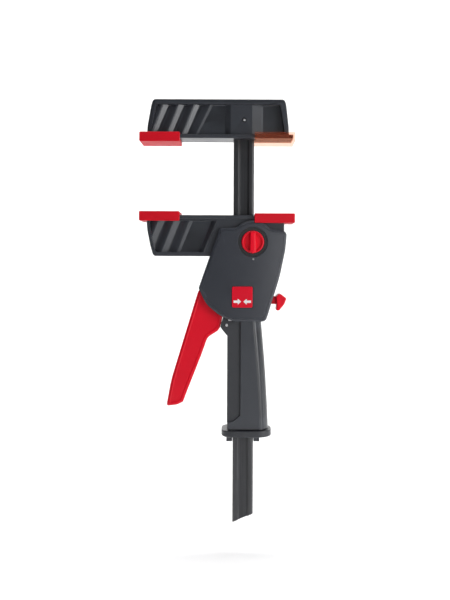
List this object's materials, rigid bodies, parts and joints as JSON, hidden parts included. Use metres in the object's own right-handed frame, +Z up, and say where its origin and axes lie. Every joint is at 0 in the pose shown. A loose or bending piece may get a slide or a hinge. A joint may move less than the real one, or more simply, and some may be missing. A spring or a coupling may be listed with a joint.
{
  "type": "one-handed bar clamp",
  "caption": "One-handed bar clamp: fixed jaw on a hollow slotted rail, sliding jaw with squeeze trigger, thumb release and a clamp or spread knob, push-on pads.",
  "frame": {"origin": "centre of the fixed jaw's long-side pad face, where it meets the workpiece", "axes": "+Z up along the rail, from the sliding jaw towards the fixed jaw; the front, with the cover and knob, faces -Y; the long throat is towards -X"},
  "size_m": [0.1435, 0.0384, 0.3935],
  "materials": {
    "housing_plastic": "dark grey glass-fibre-filled moulded plastic with a fine spark-eroded texture",
    "cover_plastic": "the same dark grey plastic, moulded smoother, with a satin sheen",
    "soft_grip": "soft-touch elastomer, matt",
    "black_plastic": "black moulded plastic, matt",
    "red_plastic": "signal red moulded plastic, semi-gloss",
    "red_pad": "signal red slightly soft pad plastic, satin",
    "amber_pad": "see-through amber plastic",
    "badge_plastic": "glossy red inlay with no lettering",
    "marker_plastic": "grey plastic dot",
    "black_steel": "burnished black roll-formed steel, semi-gloss",
    "bright_steel": "zinc-plated steel",
    "plate_steel": "hardened steel, ground faces"
  },
  "bodies": {
    "fixed_frame": {"rail": "black_steel", "fixed_jaw": "housing_plastic", "fixed_jaw_pin": "bright_steel", "fixed_long_pad": "red_pad", "fixed_short_pad": "amber_pad"},
    "carriage": {"jaw_body": "housing_plastic", "front_cover": "cover_plastic", "grip_insert": "soft_grip", "handle_end_cap": "housing_plastic", "sliding_long_pad": "red_pad", "sliding_short_pad": "red_pad", "upper_guide": "black_plastic", "lower_guide": "black_plastic", "cover_screw_1": "bright_steel", "cover_screw_2": "bright_steel", "cover_screw_3": "bright_steel", "cover_clip": "bright_steel", "badge": "badge_plastic", "knob_bezel": "black_plastic", "mode_marker": "marker_plastic", "trigger_pin": "bright_steel", "release_pin": "bright_steel", "nose_rivet_front": "bright_steel", "nose_rivet_rear": "bright_steel", "brake_spring_front": "bright_steel", "brake_spring_rear": "bright_steel", "drive_spring": "bright_steel"},
    "trigger_lever": {"trigger": "red_plastic"},
    "drive_plates": {"drive_plate_upper": "plate_steel", "drive_plate_lower": "plate_steel", "drive_spring_seat": "black_plastic"},
    "thumb_release": {"release_lever": "red_plastic"},
    "brake_plates": {"brake_plate_upper": "plate_steel", "brake_plate_lower": "plate_steel"},
    "selector_knob": {"mode_knob": "red_plastic", "knob_shaft": "bright_steel", "selector_pinion": "plate_steel"},
    "selector_slide": {"selector_rack": "black_plastic"}
  },
  "joints": [
    {"name": "carriage_slide", "type": "slide", "parent": "fixed_frame", "child": "carriage", "axis": [0, 0, 1], "range_m": [-0.066, 0.0637]},
    {"name": "trigger_squeeze", "type": "hinge", "parent": "carriage", "child": "trigger_lever", "pos_m": [0.0628, 0, -0.108], "axis": [0, -1, 0], "range_deg": [0, 12], "stiffness_Nm_per_rad": 0.8, "springref_deg": -8.59},
    {"name": "drive_stroke", "type": "slide", "parent": "carriage", "child": "drive_plates", "axis": [0, 0, -1], "range_m": [0, 0.0024], "deforming": ["drive_spring"]},
    {"name": "release_press", "type": "hinge", "parent": "carriage", "child": "thumb_release", "pos_m": [0.0968, 0, -0.153], "axis": [0, -1, 0], "range_deg": [0, 12], "stiffness_Nm_per_rad": 0.3, "springref_deg": -8.59},
    {"name": "brake_tilt", "type": "hinge", "parent": "carriage", "child": "brake_plates", "pos_m": [0.0653, 0, -0.1495], "axis": [0, 1, 0], "range_deg": [0, 2.6], "deforming": ["brake_spring_front", "brake_spring_rear"]},
    {"name": "mode_turn", "type": "hinge", "parent": "carriage", "child": "selector_knob", "pos_m": [0.0861, 0, -0.0923], "axis": [0, 1, 0], "range_deg": [0, 180]},
    {"name": "selector_shift", "type": "slide", "parent": "carriage", "child": "selector_slide", "axis": [0, 0, -1], "range_m": [0, 0.0095]}
  ],
  "couplings": [
    {"joint": "drive_stroke", "follows": "trigger_squeeze", "m_per_rad": 0.011},
    {"joint": "brake_tilt", "follows": "release_press", "ratio": 0.2083},
    {"joint": "selector_shift", "follows": "mode_turn", "m_per_rad": 0.003}
  ]
}
